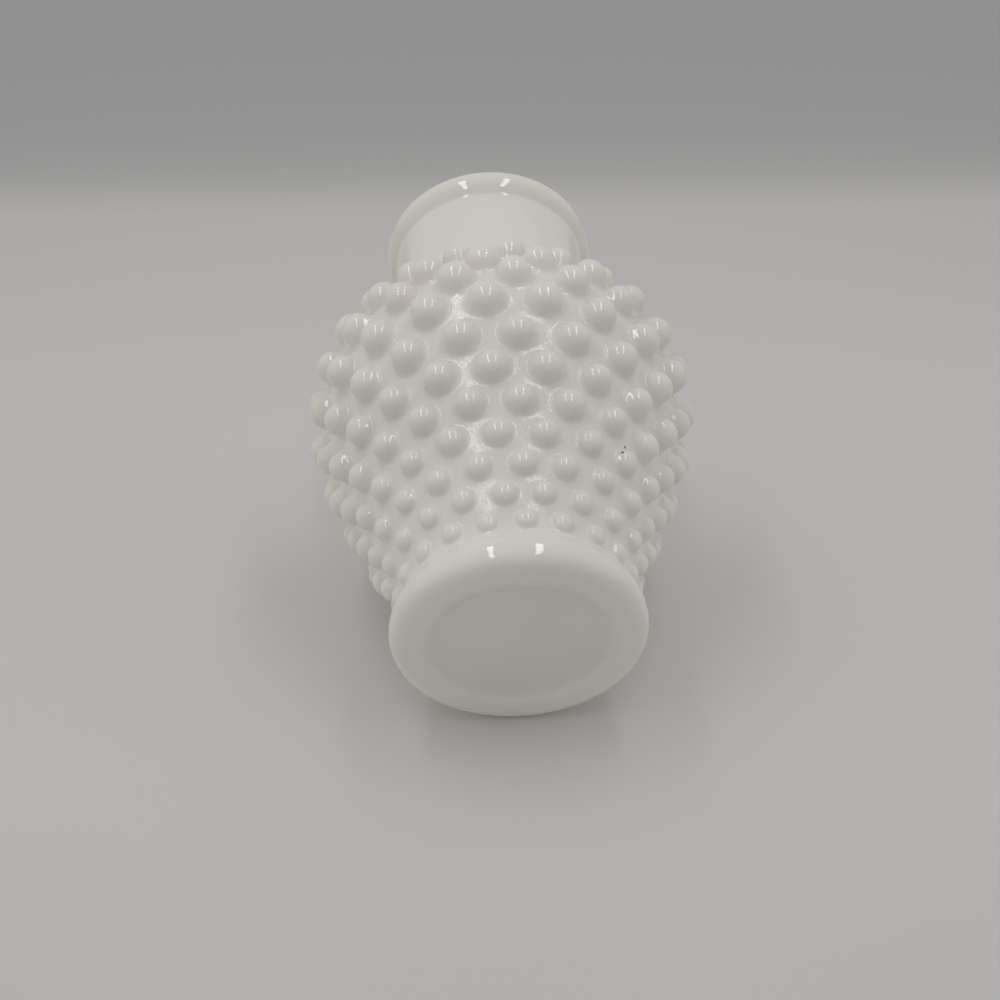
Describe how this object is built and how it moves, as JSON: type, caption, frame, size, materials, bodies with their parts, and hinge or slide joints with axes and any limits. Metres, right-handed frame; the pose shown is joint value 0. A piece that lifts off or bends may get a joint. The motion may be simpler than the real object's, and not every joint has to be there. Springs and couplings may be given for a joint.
{
  "type": "hobnail milk glass vase",
  "caption": "White milk glass vase: hobnail body swelling to a full belly, plain collar neck with a rolled lip, thick round foot. Holds water and cut flowers.",
  "frame": {"origin": "centre of the flat underside of the foot, on the vase's axis", "axes": "+Z from the foot up the axis to the mouth; +X through the middle of one knob of the lowest row"},
  "size_m": [0.1164, 0.1164, 0.1662],
  "materials": {
    "milk_glass": "glossy opaque white glass, faintly warm, with softly rounded moulded knobs"
  },
  "bodies": {
    "root": {"foot": "milk_glass", "lower_body": "milk_glass", "upper_body": "milk_glass", "neck": "milk_glass", "lip": "milk_glass"}
  },
  "joints": []
}
